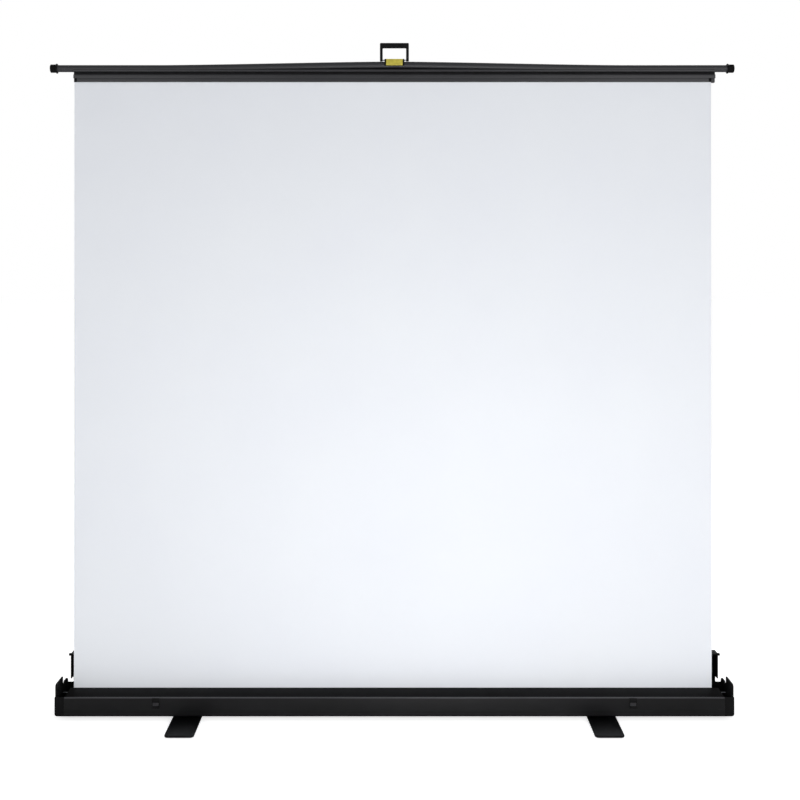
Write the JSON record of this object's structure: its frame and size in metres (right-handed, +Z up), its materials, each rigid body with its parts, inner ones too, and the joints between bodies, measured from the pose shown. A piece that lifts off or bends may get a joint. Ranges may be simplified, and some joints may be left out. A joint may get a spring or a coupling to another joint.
{
  "type": "pull-up projection screen",
  "caption": "Free-standing pull-up projection screen: long case on two swivel feet, white screen on a spring roller, folding lift frame, bail handle and rear lid.",
  "frame": {"origin": "on the floor under the middle of the feet", "axes": "+X along the case to the viewer's right, +Y away from the viewer, +Z up"},
  "size_m": [2.15, 0.43, 2.098],
  "materials": {
    "black_anodised": "black anodised, fine drawn lines",
    "black_deck": "matt black anodised",
    "black_moulding": "fine moulded texture",
    "black_paint": "black powder coat",
    "zinc_steel": "zinc plated",
    "white_screen": "matt white coated glass fabric",
    "pad_rubber": "matt",
    "black_felt": "needled felt",
    "yellow_label": "printed film, no lettering"
  },
  "bodies": {
    "case": {"case_trough": "black_anodised", "roller_deck": "black_deck", "slot_felt": "black_felt", "end_cap_left": "black_moulding", "end_cap_right": "black_moulding", "end_cap_screws": "zinc_steel", "roller_hanger_left": "zinc_steel", "roller_hanger_right": "zinc_steel", "spring_spindle": "zinc_steel", "base_bracket": "zinc_steel", "base_bracket_screws": "zinc_steel", "base_pins": "zinc_steel", "lid_pins": "zinc_steel", "catch_plate_left": "black_moulding", "catch_plate_right": "black_moulding", "catch_springs": "zinc_steel", "foot_pins": "zinc_steel", "foot_washers": "black_moulding", "screen": "white_screen"},
    "button_left": {"catch_button_left": "black_moulding"},
    "button_right": {"catch_button_right": "black_moulding"},
    "left_foot": {"foot_left": "black_paint", "foot_pads_left": "pad_rubber"},
    "right_foot": {"foot_right": "black_paint", "foot_pads_right": "pad_rubber"},
    "lid": {"lid_panel": "black_anodised", "lid_end_left": "black_moulding", "lid_end_right": "black_moulding", "lid_strikers": "zinc_steel"},
    "roller": {"roller_tube": "zinc_steel", "roller_plug_left": "black_moulding", "roller_plug_right": "black_moulding", "roller_spring": "zinc_steel", "screen_roll": "white_screen"},
    "lower_left": {"lower_arm_left": "black_paint", "lower_gear_left": "zinc_steel", "elbow_pin_left": "zinc_steel"},
    "lower_right": {"lower_arm_right": "black_paint", "lower_gear_right": "zinc_steel", "elbow_pin_right": "zinc_steel"},
    "upper_left": {"upper_arm_left": "black_paint", "upper_gear_left": "zinc_steel"},
    "upper_right": {"upper_arm_right": "black_paint", "upper_gear_right": "zinc_steel"},
    "top_bar": {"slat": "black_anodised", "screen_clamp": "black_anodised", "clamp_end_left": "black_moulding", "clamp_end_right": "black_moulding", "top_tube": "black_anodised", "tube_plug_left": "black_moulding", "tube_plug_right": "black_moulding", "top_bracket": "zinc_steel", "top_pins": "zinc_steel", "handle_bracket": "black_paint", "label_plate": "yellow_label", "handle_pin": "zinc_steel"},
    "bail": {"handle": "black_paint"}
  },
  "joints": [
    {"name": "fold", "type": "hinge", "parent": "case", "child": "lower_left", "pos_m": [-0.015, 0.0497, 0.042], "axis": [0, -1, 0], "range_deg": [0, 80], "deforming": ["screen"]},
    {"name": "elbow_left", "type": "hinge", "parent": "lower_left", "child": "upper_left", "pos_m": [-0.18463, 0.0455, 1.004], "axis": [0, -1, 0], "range_deg": [-160, 0]},
    {"name": "bar_level", "type": "hinge", "parent": "upper_left", "child": "top_bar", "pos_m": [-0.015, 0.0407, 1.966], "axis": [0, -1, 0], "range_deg": [0, 80]},
    {"name": "fold_right", "type": "hinge", "parent": "case", "child": "lower_right", "pos_m": [0.015, 0.0497, 0.042], "axis": [0, -1, 0], "range_deg": [-80, 0]},
    {"name": "elbow_right", "type": "hinge", "parent": "lower_right", "child": "upper_right", "pos_m": [0.18463, 0.0455, 1.004], "axis": [0, -1, 0], "range_deg": [0, 160]},
    {"name": "roller_spin", "type": "hinge", "parent": "case", "child": "roller", "pos_m": [0, -0.019, 0.0435], "axis": [-1, 0, 0], "range_deg": [0, 4362]},
    {"name": "handle_fold", "type": "hinge", "parent": "top_bar", "child": "bail", "pos_m": [0, 0.019, 2.044], "axis": [1, 0, 0], "range_deg": [0, 85]},
    {"name": "lid_hinge", "type": "hinge", "parent": "case", "child": "lid", "pos_m": [0, 0.048, 0.03], "axis": [1, 0, 0], "range_deg": [0, 12]},
    {"name": "foot_left_swivel", "type": "hinge", "parent": "case", "child": "left_foot", "pos_m": [-0.638, 0, 0.006], "axis": [0, 0, 1], "range_deg": [0, 90]},
    {"name": "foot_right_swivel", "type": "hinge", "parent": "case", "child": "right_foot", "pos_m": [0.638, 0, 0.006], "axis": [0, 0, -1], "range_deg": [0, 90]},
    {"name": "catch_left_slide", "type": "slide", "parent": "case", "child": "button_left", "axis": [0, 0, -1], "range_m": [0, 0.004], "stiffness_N_per_m": 300, "springref_m": -0.003, "deforming": ["catch_springs"]},
    {"name": "catch_right_slide", "type": "slide", "parent": "case", "child": "button_right", "axis": [0, 0, -1], "range_m": [0, 0.004], "stiffness_N_per_m": 300, "springref_m": -0.003}
  ],
  "couplings": [
    {"joint": "elbow_left", "follows": "fold", "ratio": -2},
    {"joint": "bar_level", "follows": "fold", "ratio": 1},
    {"joint": "fold_right", "follows": "fold", "ratio": -1},
    {"joint": "elbow_right", "follows": "fold", "ratio": 2},
    {"joint": "roller_spin", "follows": "fold", "ratio": 54.465}
  ]
}
